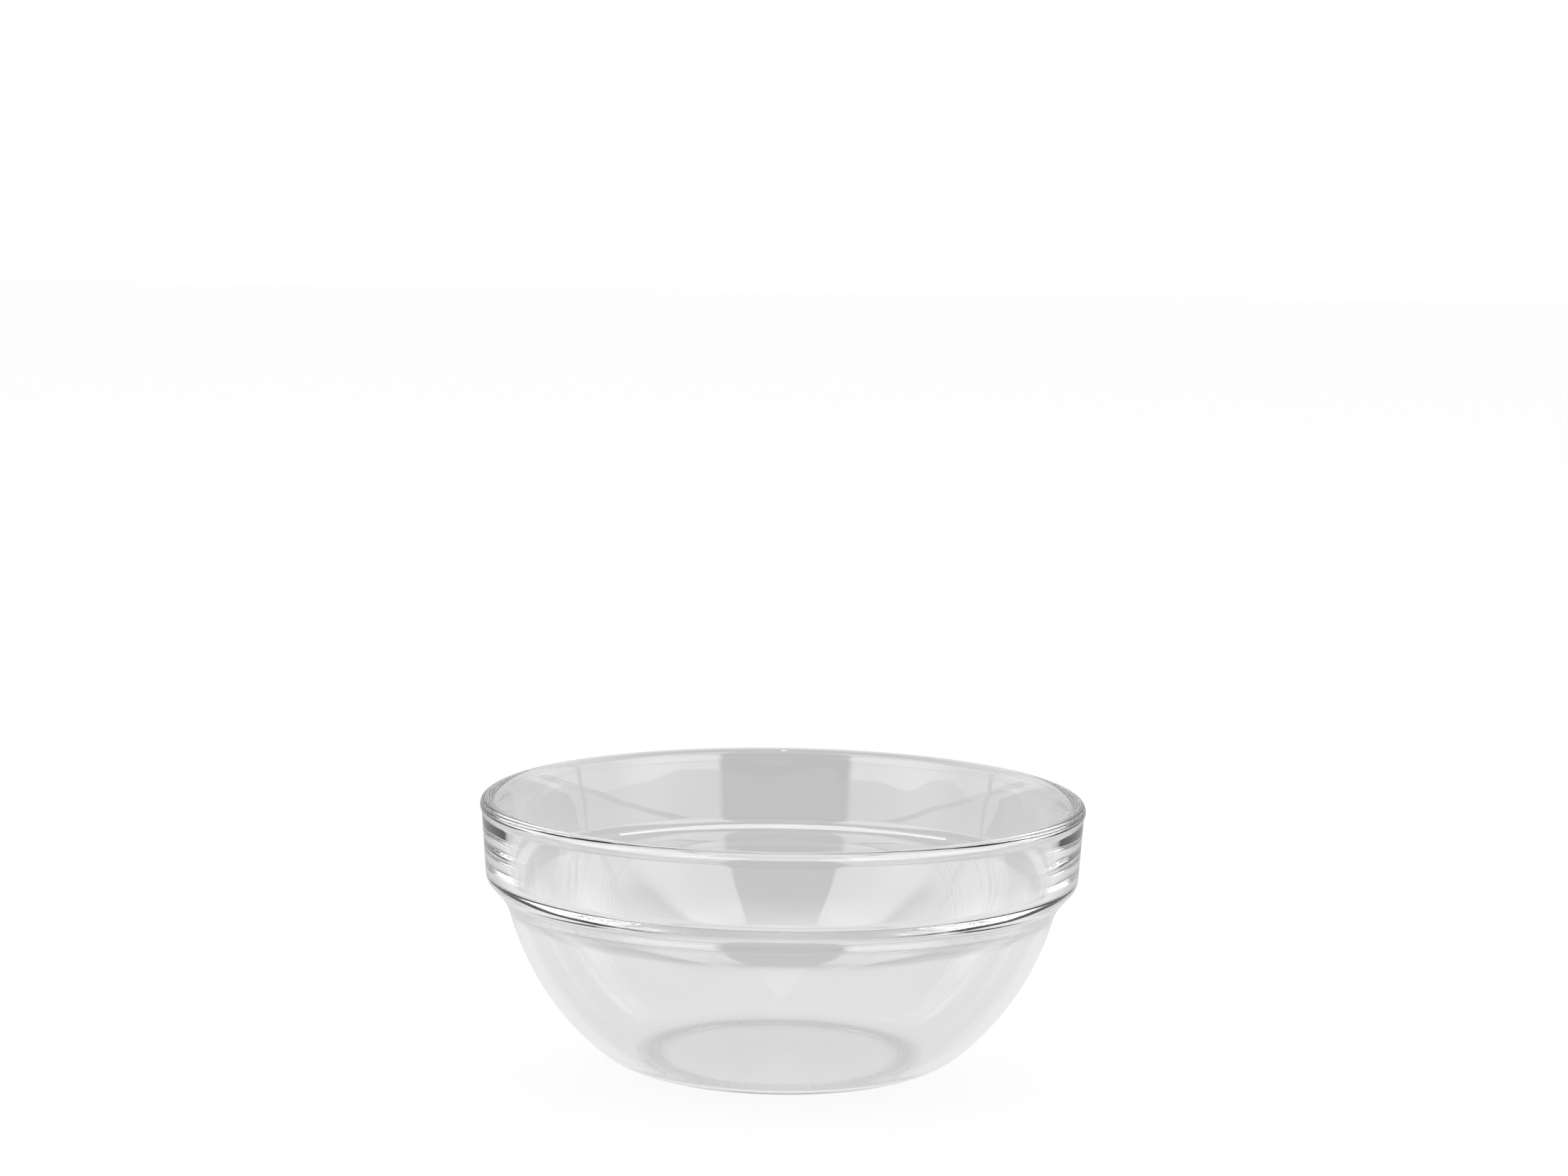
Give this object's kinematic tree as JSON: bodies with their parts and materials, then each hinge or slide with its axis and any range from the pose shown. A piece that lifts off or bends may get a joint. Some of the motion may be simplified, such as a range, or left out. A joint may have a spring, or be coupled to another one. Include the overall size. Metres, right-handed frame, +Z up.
{
  "type": "glass bowl",
  "caption": "Round clear glass stacking bowl with a beaded lip, an upright collar, a stepped shoulder and an arced body on a flat foot ring, for food preparation and serving.",
  "frame": {"origin": "on the bowl's axis, in the plane of the foot ring that it rests on", "axes": "+Z up along the axis of revolution, towards the mouth; X and Y are any two directions square to it"},
  "size_m": [0.14, 0.14, 0.0625],
  "materials": {
    "clear_glass": "clear pressed and fire-polished glass, smooth and glossy, with faint waviness"
  },
  "bodies": {
    "root": {"bowl": "clear_glass"}
  },
  "joints": []
}
